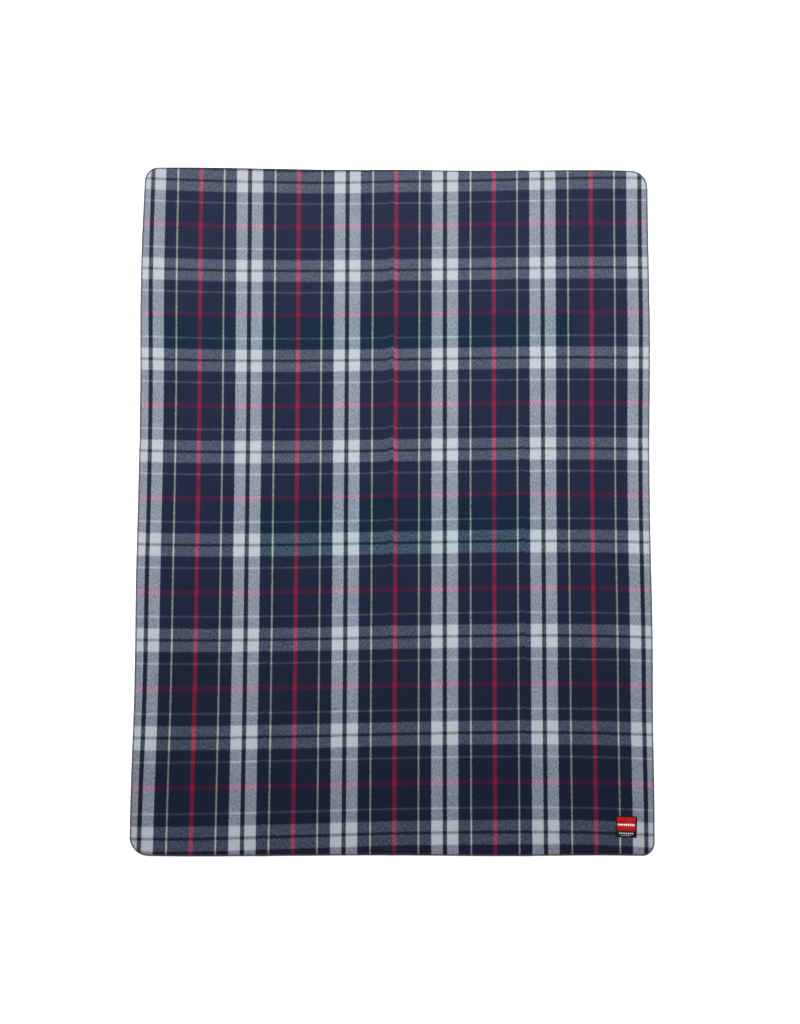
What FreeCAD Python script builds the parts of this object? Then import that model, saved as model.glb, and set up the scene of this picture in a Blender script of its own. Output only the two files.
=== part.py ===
import FreeCAD, Part
import math
import os

import Sketcher

# A camp blanket that lies flat, face up: one length of brushed twill with round corners, closed all round by a
# three-thread overlock, with a woven label sewn on its face and a care label caught in the seam beneath.
# Origin: the middle of the underside, on the ground. +X across the width, +Y along the length, +Z up.
# All sizes are in millimetres.

doc = FreeCAD.newDocument("camp_blanket")
sheet = doc.addObject("Spreadsheet::Sheet", "Sizes")

sizes = [
    ("blanket_width", 1490, "finished width, over the edge seam"),
    ("blanket_length", 2000, "finished length, over the edge seam"),
    ("blanket_thickness", 4, "brushed cloth, nap and all"),
    ("corner_radius", 46, "outer radius of the four corners"),
    ("overlock_width", 5, "how far the seam reaches in from the edge"),
    ("looper_thickness", 0.5, "layer of looper thread over the cloth"),
    ("needle_line_width", 0.8, "needle thread, at the inner edge of the seam"),
    ("needle_line_depth", 0.5, "how deep the needle thread pulls into the nap"),
    ("label_width", 61, "woven label, across the blanket"),
    ("label_height", 61, "woven label, along the blanket"),
    ("label_thickness", 0.4, "woven label"),
    ("label_corner_radius", 1, "softened corners of the label"),
    ("label_from_side", 49, "from the right edge of the blanket to the label"),
    ("label_from_foot", 51, "from the lower edge of the blanket to the label"),
    ("label_seam_inset", 2, "from the edge of the label to its line of stitches"),
    ("label_thread_width", 0.5, "thread of the label's seam"),
    ("label_thread_height", 0.3, "how far the needle thread stands up, and the bobbin thread sinks in"),
    ("care_width", 28, "care label, along the blanket"),
    ("care_length", 55, "care label, from the inner edge of the seam to its free end"),
    ("care_thickness", 0.3, "care label"),
    ("care_from_foot", 160, "from the lower edge of the blanket to the middle of the care label"),
]
for row, (alias, size, meaning) in enumerate(sizes, start=1):
    sheet.set(f"A{row}", meaning)
    sheet.set(f"B{row}", str(size))
    sheet.setAlias(f"B{row}", alias)
doc.recompute()

# Places that several pieces share, as expressions on the sheet.
ground = "0"
width = "Sizes.blanket_width"
length = "Sizes.blanket_length"
face = "Sizes.blanket_thickness"
radius = "Sizes.corner_radius"
seam = "Sizes.overlock_width"
looper = "Sizes.looper_thickness"
label_x = "(Sizes.blanket_width / 2 - Sizes.label_from_side - Sizes.label_width / 2)"
label_y = "(-Sizes.blanket_length / 2 + Sizes.label_from_foot + Sizes.label_height / 2)"


def origin_plane(body, role):
    """The body's own origin plane with this role."""
    return next(feature for feature in body.Origin.OriginFeatures if feature.Role == role)


def new_sketch(body, name, plane, height=None):
    """A sketch on the body's own plane, raised by an expression where one is given."""
    sketch = body.newObject("Sketcher::SketchObject", name)
    sketch.AttachmentSupport = (origin_plane(body, plane), [""])
    sketch.MapMode = "FlatFace"
    if height:
        sketch.setExpression("AttachmentOffset.Base.z", height)
    return sketch


def drive(sketch, constraint, expression):
    """Adds a dimension and ties it to an expression."""
    index = sketch.addConstraint(constraint)
    sketch.setExpression(f"Constraints[{index}]", expression)


def draw_outline(sketch, corners):
    """A closed run of straight edges through corners, each an (x, y) pair of expressions."""
    points = [FreeCAD.Vector(sketch.evalExpression(x), sketch.evalExpression(y)) for x, y in corners]
    count = len(points)
    for number in range(count):
        sketch.addGeometry(Part.LineSegment(points[number], points[(number + 1) % count]))
    for number in range(count):
        sketch.addConstraint(Sketcher.Constraint("Coincident", number, 2, (number + 1) % count, 1))
    for number, (x, y) in enumerate(corners):
        drive(sketch, Sketcher.Constraint("DistanceX", number, 1, points[number].x), x)
        drive(sketch, Sketcher.Constraint("DistanceY", number, 1, points[number].y), y)


def draw_rounded_rectangle(sketch, across, along, corner):
    """A rectangle with round corners, centred on the sketch's origin. Its three sizes are expressions."""
    half_x = sketch.evalExpression(across) / 2
    half_y = sketch.evalExpression(along) / 2
    corner_size = sketch.evalExpression(corner)
    middle_x = half_x - corner_size
    middle_y = half_y - corner_size
    up = FreeCAD.Vector(0, 0, 1)
    # Each side is followed by the corner at its end, counter-clockwise from the lower side.
    sides = [
        ((-middle_x, -half_y), (middle_x, -half_y), (middle_x, -middle_y)),
        ((half_x, -middle_y), (half_x, middle_y), (middle_x, middle_y)),
        ((middle_x, half_y), (-middle_x, half_y), (-middle_x, middle_y)),
        ((-half_x, middle_y), (-half_x, -middle_y), (-middle_x, -middle_y)),
    ]
    quarter = math.pi / 2
    for turn, (begin, end, centre) in enumerate(sides):
        sketch.addGeometry(Part.LineSegment(FreeCAD.Vector(*begin), FreeCAD.Vector(*end)))
        circle = Part.Circle(FreeCAD.Vector(*centre), up, corner_size)
        sketch.addGeometry(Part.ArcOfCircle(circle, (turn - 1) * quarter, turn * quarter))
    for side in (0, 2, 4, 6):
        sketch.addConstraint(Sketcher.Constraint("Tangent", side, 2, side + 1, 1))
        sketch.addConstraint(Sketcher.Constraint("Tangent", side + 1, 2, (side + 2) % 8, 1))
    for level_side in (0, 4):
        sketch.addConstraint(Sketcher.Constraint("Horizontal", level_side))
    for upright_side in (2, 6):
        sketch.addConstraint(Sketcher.Constraint("Vertical", upright_side))
    for arc in (3, 5, 7):
        sketch.addConstraint(Sketcher.Constraint("Equal", 1, arc))
    sketch.addConstraint(Sketcher.Constraint("Symmetric", 1, 3, 5, 3, -1, 1))
    drive(sketch, Sketcher.Constraint("DistanceX", 6, 1, 2, 1, 2 * half_x), across)
    drive(sketch, Sketcher.Constraint("DistanceY", 0, 1, 4, 1, 2 * half_y), along)
    drive(sketch, Sketcher.Constraint("Radius", 1, corner_size), corner)


def pad(body, sketch, height):
    """Raises the sketch by an expression."""
    feature = body.newObject("PartDesign::Pad", sketch.Name + "_pad")
    feature.Profile = sketch
    feature.setExpression("Length", height)
    return feature


def new_body(label):
    body = doc.addObject("PartDesign::Body", label)
    body.Label = label
    return body


def seam_run(name, section, reach, run):
    """A straight stretch of seam: the section, reach from the middle, drawn out by run and centred."""
    body = new_body(name)
    sketch = new_sketch(body, name + "_section", "XZ_Plane")
    draw_outline(sketch, section(reach))
    pad(body, sketch, run).Midplane = True
    return body


def seam_corner(name, section):
    """A quarter turn of seam about the body's own Z axis, centred on its X axis."""
    body = new_body(name)
    sketch = new_sketch(body, name + "_section", "XZ_Plane")
    draw_outline(sketch, section(radius))
    turn = body.newObject("PartDesign::Revolution", name + "_turn")
    turn.Profile = sketch
    turn.ReferenceAxis = (sketch, ["V_Axis"])
    turn.Angle = 90
    turn.Midplane = True
    return body


def edge_seam(label, section):
    """One thread of the overlock all round the blanket: four straight runs and four corners, end to end."""
    pieces = []
    for turn in range(4):
        across, along = (width, length) if turn % 2 == 0 else (length, width)
        run = seam_run(f"{label}_run_{turn + 1}", section, f"({across} / 2)", f"{along} - 2 * {radius}")
        run.Placement.Rotation = FreeCAD.Rotation(FreeCAD.Vector(0, 0, 1), 90 * turn)
        corner = seam_corner(f"{label}_corner_{turn + 1}", section)
        corner.Placement.Rotation = FreeCAD.Rotation(FreeCAD.Vector(0, 0, 1), 45 + 90 * turn)
        side_x = "" if turn in (0, 3) else "-"
        side_y = "" if turn in (0, 1) else "-"
        corner.setExpression("Placement.Base.x", f"{side_x}({width} / 2 - {radius})")
        corner.setExpression("Placement.Base.y", f"{side_y}({length} / 2 - {radius})")
        pieces += [run, corner]
    group = doc.addObject("Part::Compound", label)
    group.Label = label
    group.Links = pieces
    return group


def upper_looper_section(reach):
    """A flat layer on the face that turns down over the rim to half the cloth's thickness."""
    return [
        (f"{reach} - {seam}", face),
        (f"{reach} - {seam}", f"{face} - {looper}"),
        (f"{reach} - {looper}", f"{face} - {looper}"),
        (f"{reach} - {looper}", f"{face} / 2"),
        (reach, f"{face} / 2"),
        (reach, face),
    ]


def lower_looper_section(reach):
    """The same layer on the underside, turned up over the rim to meet the upper one."""
    return [
        (f"{reach} - {seam}", looper),
        (f"{reach} - {seam}", ground),
        (reach, ground),
        (reach, f"{face} / 2"),
        (f"{reach} - {looper}", f"{face} / 2"),
        (f"{reach} - {looper}", looper),
    ]


def needle_section(reach):
    """The needle thread, sunk into the nap beside the upper looper's inner edge."""
    outer = f"{reach} - {seam}"
    inner = f"{outer} - Sizes.needle_line_width"
    return [
        (inner, face),
        (inner, f"{face} - Sizes.needle_line_depth"),
        (outer, f"{face} - Sizes.needle_line_depth"),
        (outer, face),
    ]


def thread_bar(name, size_x, size_y, place_x, place_y, height):
    """One straight run of the label's seam, centred at its place in plan, standing on height."""
    bar = doc.addObject("Part::Box", name)
    bar.setExpression("Length", size_x)
    bar.setExpression("Width", size_y)
    bar.setExpression("Height", "Sizes.label_thread_height")
    bar.setExpression("Placement.Base.x", f"{place_x} - ({size_x}) / 2")
    bar.setExpression("Placement.Base.y", f"{place_y} - ({size_y}) / 2")
    bar.setExpression("Placement.Base.z", height)
    return bar


def label_seam(label, height):
    """The square of stitches round the label: two runs across it and two between them."""
    thread = "Sizes.label_thread_width"
    run_x = "Sizes.label_width - 2 * Sizes.label_seam_inset"
    run_y = "Sizes.label_height - 2 * Sizes.label_seam_inset"
    off_x = f"(({run_x} - {thread}) / 2)"
    off_y = f"(({run_y} - {thread}) / 2)"
    between = f"{run_y} - 2 * {thread}"
    bars = [
        thread_bar(label + "_foot", run_x, thread, label_x, f"{label_y} - {off_y}", height),
        thread_bar(label + "_head", run_x, thread, label_x, f"{label_y} + {off_y}", height),
        thread_bar(label + "_left", thread, between, f"{label_x} - {off_x}", label_y, height),
        thread_bar(label + "_right", thread, between, f"{label_x} + {off_x}", label_y, height),
    ]
    group = doc.addObject("Part::Compound", label)
    group.Label = label
    group.Links = bars
    return group


def make_brand_label():
    """The woven label: a thin square lying on the face."""
    body = new_body("brand_label")
    sketch = new_sketch(body, "brand_label_outline", "XY_Plane", face)
    draw_rounded_rectangle(sketch, "Sizes.label_width", "Sizes.label_height", "Sizes.label_corner_radius")
    pad(body, sketch, "Sizes.label_thickness")
    body.setExpression("Placement.Base.x", label_x)
    body.setExpression("Placement.Base.y", label_y)
    return body


def make_care_label():
    """The care label: a strip under the blanket whose end steps up between the cloth and the lower looper."""
    edge = f"({width} / 2 - {looper})"
    seam_line = f"({width} / 2 - {seam})"
    strip = "Sizes.care_thickness"
    free_end = f"{seam_line} - Sizes.care_length"
    body = new_body("care_label")
    sketch = new_sketch(body, "care_label_section", "XZ_Plane")
    draw_outline(
        sketch,
        [
            (free_end, ground),
            (seam_line, ground),
            (seam_line, looper),
            (edge, looper),
            (edge, f"{looper} + {strip}"),
            (f"{seam_line} - {strip}", f"{looper} + {strip}"),
            (f"{seam_line} - {strip}", strip),
            (free_end, strip),
        ],
    )
    pad(body, sketch, "Sizes.care_width").Midplane = True
    body.setExpression("Placement.Base.y", f"-{length} / 2 + Sizes.care_from_foot")
    return body


def make_cloth(sewn_in):
    """The cloth: a slab the size of the finished blanket, less whatever is sewn into it."""
    blank = new_body("cloth_blank")
    sketch = new_sketch(blank, "cloth_blank_outline", "XY_Plane")
    draw_rounded_rectangle(sketch, width, length, radius)
    pad(blank, sketch, face)
    threads = doc.addObject("Part::MultiFuse", "sewn_into_the_cloth")
    threads.Shapes = sewn_in
    cloth = doc.addObject("Part::Cut", "blanket_cloth")
    cloth.Label = "blanket_cloth"
    cloth.Base = blank
    cloth.Tool = threads
    return cloth


upper_looper = edge_seam("overlock_upper_looper_thread", upper_looper_section)
lower_looper = edge_seam("overlock_lower_looper_thread", lower_looper_section)
needle_line = edge_seam("overlock_needle_thread", needle_section)
brand_label = make_brand_label()
label_needle = label_seam("label_needle_thread", f"{face} + Sizes.label_thickness")
label_bobbin = label_seam("label_bobbin_thread", ground)
care_label = make_care_label()
cloth = make_cloth([upper_looper, lower_looper, needle_line, label_bobbin, care_label])
doc.recompute()

sub_parts = [cloth, upper_looper, lower_looper, needle_line, brand_label, label_needle, label_bobbin, care_label]

for made in doc.Objects:
    if "Invalid" in made.State or "Error" in made.State:
        raise RuntimeError(f"{made.Label} did not recompute: {made.State}")
for part in sub_parts:
    if part.Shape.isNull() or not part.Shape.isValid() or not part.Shape.Solids:
        raise RuntimeError(f"{part.Label} has no valid solid")

os.makedirs("parts", exist_ok=True)
for part in sub_parts:
    part.Shape.exportStep(f"parts/{part.Label}.step")
    print(part.Label, len(part.Shape.Solids), "solids", round(part.Shape.Volume), "mm3")
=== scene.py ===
import math

import bpy
import numpy as np
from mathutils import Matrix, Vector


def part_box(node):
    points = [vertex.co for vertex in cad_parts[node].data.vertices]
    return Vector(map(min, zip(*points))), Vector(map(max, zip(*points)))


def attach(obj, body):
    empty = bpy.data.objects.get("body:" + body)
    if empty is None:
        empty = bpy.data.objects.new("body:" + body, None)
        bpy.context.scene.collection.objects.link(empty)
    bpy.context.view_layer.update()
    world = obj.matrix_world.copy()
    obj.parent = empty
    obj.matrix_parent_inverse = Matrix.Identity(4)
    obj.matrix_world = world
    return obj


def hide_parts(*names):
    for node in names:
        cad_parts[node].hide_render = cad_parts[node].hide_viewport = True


# A plaid camp blanket spread face up on the ground. Metres, as in the CAD: +X across, +Y along, +Z up.
# Every piece is worked out on the flat cloth, as (u, v, height), and laid on the settled cloth by layOut.

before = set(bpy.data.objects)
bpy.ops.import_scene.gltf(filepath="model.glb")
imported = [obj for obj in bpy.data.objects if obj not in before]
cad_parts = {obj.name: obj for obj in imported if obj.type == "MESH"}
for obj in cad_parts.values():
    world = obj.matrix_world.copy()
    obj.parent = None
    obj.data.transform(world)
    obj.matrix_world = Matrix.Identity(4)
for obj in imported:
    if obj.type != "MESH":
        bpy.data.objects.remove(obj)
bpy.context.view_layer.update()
mm = 0.001
randomNumbers = np.random.default_rng(41)

clothLow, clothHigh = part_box("blanket_cloth")
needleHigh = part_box("overlock_needle_thread")[1]
labelLow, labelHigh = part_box("brand_label")
labelSeamLow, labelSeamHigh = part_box("label_needle_thread")
careLow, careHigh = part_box("care_label")
halfWidth = clothHigh.x
halfLength = clothHigh.y
thickness = clothHigh.z - clothLow.z
seamWidth = clothHigh.x - needleHigh.x + 0.5 * mm  # from the cut edge to the needle thread
print("frame: cloth", round(2 * halfWidth, 4), "x", round(2 * halfLength, 4), "m, seam", round(seamWidth, 4))


def makePiece(name, points, quads, uvMaps=None):
    # A smooth mesh from an array of points and an array of quads. uvMaps holds one (u, v) for each point.
    mesh = bpy.data.meshes.new(name)
    mesh.from_pydata(points.tolist(), [], quads.tolist())
    corner = np.zeros(len(mesh.loops), dtype=np.int32)
    mesh.loops.foreach_get("vertex_index", corner)
    for uvName, uv in (uvMaps or {}).items():
        layer = mesh.uv_layers.new(name=uvName)
        layer.data.foreach_set("uv", uv[corner].astype(np.float32).ravel())
    mesh.polygons.foreach_set("use_smooth", np.ones(len(mesh.polygons), dtype=bool))
    mesh.update()
    piece = bpy.data.objects.new(name, mesh)
    bpy.context.scene.collection.objects.link(piece)
    return piece


def gridQuads(rows, columns, closed=False):
    # Quads between the neighbours of a rows x columns grid of points, wrapped round both ways if closed.
    lastRow = rows if closed else rows - 1
    lastColumn = columns if closed else columns - 1
    row, column = np.meshgrid(np.arange(lastRow), np.arange(lastColumn), indexing="ij")
    nextRow = (row + 1) % rows
    nextColumn = (column + 1) % columns
    corners = [row * columns + column, row * columns + nextColumn, nextRow * columns + nextColumn,
               nextRow * columns + column]
    return np.stack(corners, axis=-1).reshape(-1, 4)


def groundSquare(name, reach, height):
    # A flat square about the origin, reach to each side.
    corners = np.array([[-reach, -reach, 0], [reach, -reach, 0], [reach, reach, 0], [-reach, reach, 0]])
    corners[:, 2] = height
    return makePiece(name, corners, np.array([[0, 1, 2, 3]]))


def borderOf(shape):
    # True along the four sides of a grid.
    border = np.zeros(shape, dtype=bool)
    border[[0, -1], :] = True
    border[:, [0, -1]] = True
    return border


def closeShell(name, face, back, own, uvName):
    # A closed shell from two grids of points that share their border: the face's quads, then the back's
    # turned round. own holds each grid point's own coordinates, for the named UV map.
    inside = ~borderOf(face.shape[:2])
    backIndex = np.arange(inside.size)
    backIndex[inside.ravel()] = inside.size + np.arange(inside.sum())
    quads = gridQuads(*inside.shape)
    points = np.concatenate([face.reshape(-1, 3), back[inside]])
    ownPoints = np.concatenate([own.reshape(-1, 2), own[inside]])
    return makePiece(name, points, np.concatenate([quads, backIndex[quads][:, ::-1]]), {uvName: ownPoints})


def splineWeights(share):
    # The four weights of a uniform cubic B-spline at a share of the way between two knots.
    return ((1 - share) ** 3 / 6, (3 * share ** 3 - 6 * share ** 2 + 4) / 6,
            (-3 * share ** 3 + 3 * share ** 2 + 3 * share + 1) / 6, share ** 3 / 6)


def readField(field, across, along):
    # A field on an even grid over the whole cloth, read at any (across, along) from 0 to 1: the weighted
    # sum of the 4 x 4 grid values round each place.
    rows, columns = field.shape[:2]
    x = np.clip(across, 0, 1) * (columns - 1)
    y = np.clip(along, 0, 1) * (rows - 1)
    column = np.minimum(np.floor(x).astype(int), columns - 2)
    row = np.minimum(np.floor(y).astype(int), rows - 2)
    weightsX = splineWeights(x - column)
    weightsY = splineWeights(y - row)
    total = 0
    for j in range(4):
        for i in range(4):
            value = field[np.clip(row + j - 1, 0, rows - 1), np.clip(column + i - 1, 0, columns - 1)]
            total = total + (weightsY[j] * weightsX[i])[..., None] * value
    return total


def smoothStep(value, low, high):
    # 0 below low, 1 above high, and 3t^2 - 2t^3 between.
    share = np.clip((value - low) / (high - low), 0, 1)
    return share * share * (3 - 2 * share)


def cornerAt(u, v):
    # The radius of the corner nearest a point: the four were cut by hand and differ a little.
    corners = cut["corners"]
    return np.where(v > 0, np.where(u < 0, corners[0], corners[1]), np.where(u < 0, corners[2], corners[3]))


def edgeDistance(u, v, halfX=halfWidth, halfY=halfLength, radius=None):
    # How far inside a rectangle with round corners a point lies, less than 0 outside.
    radius = cornerAt(u, v) if radius is None else radius
    outX = np.abs(u) - (halfX - radius)
    outY = np.abs(v) - (halfY - radius)
    corner = np.hypot(np.maximum(outX, 0), np.maximum(outY, 0))
    return radius - corner - np.minimum(np.maximum(outX, outY), 0)


cut = {"corners": (41 * mm, 51 * mm, 53 * mm, 37 * mm)}  # head left and right, foot left and right
longestCorner = max(cut["corners"])

lie = {
    "gridPitch": 15 * mm,  # cells of the simulated cloth
    "frames": 30,  # of settling
    "dropHeight": 4 * mm,  # of the flat parts as the cloth is let go
    "folds": (-0.008, 0.372, -0.368),  # where the stored blanket was folded, across the width
    "foldHeights": (7 * mm, 4 * mm, 3 * mm),
    "foldWidth": 16 * mm,
    "foldWander": 3 * mm,
    "foldFade": (0.62, 0.38),  # a ridge's strength along the cloth: its middle and its swing
    "slackWaves": 16,
    "slackHeight": 0.9 * mm,  # of each wave
    "slackLengths": (0.22, 0.60),
    "highest": 7 * mm,  # of the cloth's underside over the ground
    "slideLimit": 4 * mm,  # how far a point may slide along the ground
    "rise": 0.35 * mm,  # room for the threads under the cloth
    "quickShare": 0.55,  # of the dropped shape that stays where the settling is skipped
    # how far the cut edge stands out past its straight line, in mm at even steps along each side
    "leftOut": (-7, 1, 3, -2, -3, -2, 1, -1, -1, 5, 5),
    "rightOut": (0, 0, 3, 2, -4, -4, -2, 1, -3, 0, -2),
    "headOut": (0, 2, 1, -1, -2, 1, -1, 0, 2, 5, 2),
    "footOut": (-1, 2, 1, 0, -1, -2, 0, 1, 0, -2, 1),
    "wanderReach": 0.13,  # how far in from the edge that dies away
    "spread": 1.003,  # pressed out this much wider than it was cut
    "careShare": 0.7,  # of the care label's thickness that shows as a lift of the cloth over it
    "careSoftness": 22 * mm,
}

settling = {
    "ground": {"reach": 2.0, "thickness": 1 * mm, "friction": 20},
    "cloth": {"quality": 6, "mass": 0.12, "tension_stiffness": 30, "compression_stiffness": 30,
              "shear_stiffness": 12, "bending_stiffness": 6, "air_damping": 2},
    "contact": {"distance_min": 1.5 * mm, "friction": 20, "use_self_collision": False},
}


def restingShape(u, v):
    # Height of the cloth as it is let go: a low ridge along each old fold, fading in and out along the
    # cloth, and slack waves in random directions.
    height = np.full(u.shape, lie["dropHeight"])
    for number, (place, ridge) in enumerate(zip(lie["folds"], lie["foldHeights"])):
        line = place + lie["foldWander"] * np.sin(5.1 * v + number)
        strength = lie["foldFade"][0] + lie["foldFade"][1] * np.sin(3.7 * v + 0.9 + 2.1 * number)
        height += ridge * strength * np.exp(-((u - line) / lie["foldWidth"]) ** 2)
    for _ in range(lie["slackWaves"]):
        turn = randomNumbers.uniform(0, math.pi)
        waveLength = randomNumbers.uniform(*lie["slackLengths"])
        phase = randomNumbers.uniform(0, 2 * math.pi)
        distance = u * math.cos(turn) + v * math.sin(turn)
        height += lie["slackHeight"] * np.sin(2 * math.pi * distance / waveLength + phase)
    return height


def settleCloth():
    # Drops a thin cloth, shaped like restingShape, on the ground and returns how far each point of its
    # grid moved from its flat place, as (x, y, height).
    columns = int(round(2 * halfWidth / lie["gridPitch"])) + 1
    rows = int(round(2 * halfLength / lie["gridPitch"])) + 1
    line = np.linspace(-halfLength, halfLength, rows)
    u, v = np.meshgrid(np.linspace(-halfWidth, halfWidth, columns), line)
    height = restingShape(u, v)
    start = np.stack([u, v, height], axis=-1)
    scene = bpy.context.scene
    sheet = makePiece("settling", start.reshape(-1, 3), gridQuads(rows, columns))
    modifier = sheet.modifiers.new("cloth", "CLOTH")
    for name, value in settling["cloth"].items():
        setattr(modifier.settings, name, value)
    for name, value in settling["contact"].items():
        setattr(modifier.collision_settings, name, value)
    ground = groundSquare("settlingGround", settling["ground"]["reach"], 0)
    ground.modifiers.new("collision", "COLLISION")
    ground.collision.thickness_outer = settling["ground"]["thickness"]
    ground.collision.cloth_friction = settling["ground"]["friction"]
    scene.frame_start = 1
    scene.frame_end = lie["frames"]
    modifier.point_cache.frame_end = lie["frames"]
    for step in range(1, lie["frames"] + 1):
        scene.frame_set(step)
    result = sheet.evaluated_get(bpy.context.evaluated_depsgraph_get()).data
    moved = np.zeros(len(result.vertices) * 3, dtype=np.float32)
    result.vertices.foreach_get("co", moved)
    moved = moved.reshape(rows, columns, 3).astype(float)
    scene.frame_set(1)
    bpy.data.objects.remove(sheet)
    bpy.data.objects.remove(ground)
    slide = moved[..., :2] - start[..., :2]
    slide = np.clip(slide - slide.mean(axis=(0, 1)), -lie["slideLimit"], lie["slideLimit"])
    rise = moved[..., 2] - moved[..., 2].min()
    farthest = float(np.abs(slide).max())
    print("cloth settled: highest", round(float(rise.max()), 4), "slide", round(farthest, 4))
    return np.concatenate([slide, np.minimum(rise, lie["highest"])[..., None]], axis=-1)


settled = settleCloth()


def wander(u, v):
    # How far the cut edge pulls the cloth out of line near each side: a spline through the side's steps,
    # dying away exponentially going inwards.
    alongShare = (v + halfLength) / (2 * halfLength)
    acrossShare = (u + halfWidth) / (2 * halfWidth)
    reach = lie["wanderReach"]

    def side(name, share):
        knots = mm * np.array(lie[name], dtype=float)[::-1 if name in ("leftOut", "rightOut") else 1]
        return readField(np.stack([knots, knots])[..., None], share, np.zeros_like(share))[..., 0]

    right = side("rightOut", alongShare) * np.exp((u - halfWidth) / reach)
    left = side("leftOut", alongShare) * np.exp(-(u + halfWidth) / reach)
    head = side("headOut", acrossShare) * np.exp((v - halfLength) / reach)
    foot = side("footOut", acrossShare) * np.exp(-(v + halfLength) / reach)
    return right - left, head - foot


press = {
    "rim": 1.5 * mm,  # radius of the round cut edge
    "share": 0.70,  # of the full thickness under the seam
    "swell": 10 * mm,  # over which the cloth comes back to full thickness
    "pull": 0.12,  # how deep the needle thread draws in, as a share of the thickness
    "pullWidth": 0.9 * mm,
}


def seamShare(distance):
    # The cloth's thickness as a share of its full one: round at the cut edge, pressed flat under the
    # seam, drawn in at the needle thread and swelling to full beyond it.
    rim = press["rim"]
    edge = np.sqrt(np.clip(1 - (1 - np.clip(distance, 0, rim) / rim) ** 2, 0, 1))
    swollen = smoothStep(distance, seamWidth, seamWidth + press["swell"])
    swell = press["share"] + (1 - press["share"]) * swollen
    pull = press["pull"] * np.exp(-((distance - seamWidth) / press["pullWidth"]) ** 2)
    return edge * (swell - pull)


def faceHeightAt(distance):
    # How high the cloth's face stands over its middle layer at a distance from the cut edge.
    return thickness / 2 * seamShare(distance)


def stitchDip(share):
    # How far down a stitch's thread is, 0 to 1: a squared cosine near each end and 0 between.
    return np.clip(np.cos(2 * math.pi * share), 0, 1) ** 2


def overCare(u, v):
    # A soft step, 0 to 1, over the care label.
    soft = lie["careSoftness"]
    across = smoothStep(u, careLow.x - soft, careLow.x)
    along = smoothStep(v, careLow.y - soft, careLow.y) * (1 - smoothStep(v, careHigh.y, careHigh.y + soft))
    return across * along


def layOut(u, v, height):
    # The place of a point at (u, v) on the flat cloth and height over its middle layer: the flat place
    # plus the slide and the pull, and the settled height plus the lifts and half the thickness.
    moved = readField(settled, (u + halfWidth) / (2 * halfWidth), (v + halfLength) / (2 * halfLength))
    pullX, pullY = wander(u, v)
    careLift = (careHigh.z - careLow.z) * lie["careShare"] * overCare(u, v)
    x = u * lie["spread"] + moved[..., 0] + pullX
    y = v + moved[..., 1] + pullY
    z = moved[..., 2] + lie["rise"] + careLift + thickness / 2 + height
    return np.stack([x, y, z], axis=-1)


weave = {
    "bowLeft": 6.5 * mm,  # how far the long stripes bow in at mid-length, at the left side
    "bowRight": 3.8 * mm,
    "crossShift": 13.3 * mm,  # of all the cross stripes, towards the head
    "crossBow": -16.8 * mm,  # how much less they shift at the head and the foot
    "crossSkew": 17.0 * mm,  # how much higher a cross stripe stands at its right end than in its middle
    "crossHook": -11.7 * mm,  # how much of that the last stretch takes back
    "crossSag": 10.0 * mm,  # how far both ends turn up near the head, and down near the foot
    "crossPack": (-2.7 * mm, 6.6 * mm),  # the weft is beaten up closer towards head and foot
    "foldShears": (8 * mm, 4 * mm, 3 * mm),  # how far each old fold drags the cross stripes
    "foldRun": 30 * mm,  # over which the drag builds up before a fold
    "foldFall": 5 * mm,  # over which it lets go past the fold
}


def weaveCoordinates(u, v):
    # Where a point of the cut cloth lies in the weave, in metres. The stripes aren't quite square to the
    # cut edge: they bow and skew smoothly, and each old fold drags the cross stripes up and lets them drop.
    across = u / halfWidth
    along = v / halfLength
    bow = np.where(u < 0, weave["bowLeft"], weave["bowRight"]) * across * (1 - along ** 2)
    drift = weave["crossShift"] + weave["crossBow"] * along ** 2 + weave["crossSkew"] * across
    drift = drift + weave["crossHook"] * across ** 3 + weave["crossSag"] * across ** 2 * along
    drift = drift + weave["crossPack"][0] * along + weave["crossPack"][1] * along ** 3
    for number, (place, drag) in enumerate(zip(lie["folds"], weave["foldShears"])):
        behind = u - place
        ramp = np.clip(1 + behind / weave["foldRun"], 0, 1) ** 2
        fall = 1 - smoothStep(behind, 0, weave["foldFall"])
        strength = 0.5 + 0.5 * np.sin(3.1 * v + 0.6 + 1.7 * number)
        drift = drift + drag * strength * ramp * fall
    return np.stack([u + bow, v - drift], axis=-1)


def addNode(tree, kind, **settings):
    # A shader node with its settings.
    made = tree.nodes.new(kind)
    for name, value in settings.items():
        setattr(made, name, value)
    return made


def feed(tree, socket, value):
    # Links a socket to another node's output, or sets a plain value.
    if isinstance(value, bpy.types.NodeSocket):
        tree.links.new(value, socket)
    else:
        socket.default_value = value


def calc(tree, operation, *values, clamp=False):
    # One step of arithmetic on numbers or other nodes' outputs.
    made = addNode(tree, "ShaderNodeMath", operation=operation, use_clamp=clamp)
    for socket, value in zip(made.inputs, values):
        feed(tree, socket, value)
    return made.outputs[0]


def mixColors(tree, share, first, second, blend="MIX"):
    # The first colour at share 0 and the second at 1, or their product.
    made = addNode(tree, "ShaderNodeMix", data_type="RGBA", blend_type=blend)
    feed(tree, made.inputs["Factor"], share)
    for socket, value in zip(made.inputs[6:8], (first, second)):
        feed(tree, socket, value if isinstance(value, bpy.types.NodeSocket) else (*value, 1))
    return made.outputs[2]


def readCoordinates(tree, uvName):
    # The two coordinates of a piece's own UV map, in metres.
    source = addNode(tree, "ShaderNodeUVMap", uv_map=uvName)
    split = addNode(tree, "ShaderNodeSeparateXYZ")
    tree.links.new(source.outputs[0], split.inputs[0])
    return split.outputs[0], split.outputs[1]


def asGrey(tree, value):
    # One number as the red, green and blue of a grey.
    grey = addNode(tree, "ShaderNodeCombineXYZ")
    for socket in grey.inputs:
        tree.links.new(value, socket)
    return grey.outputs[0]


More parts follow.
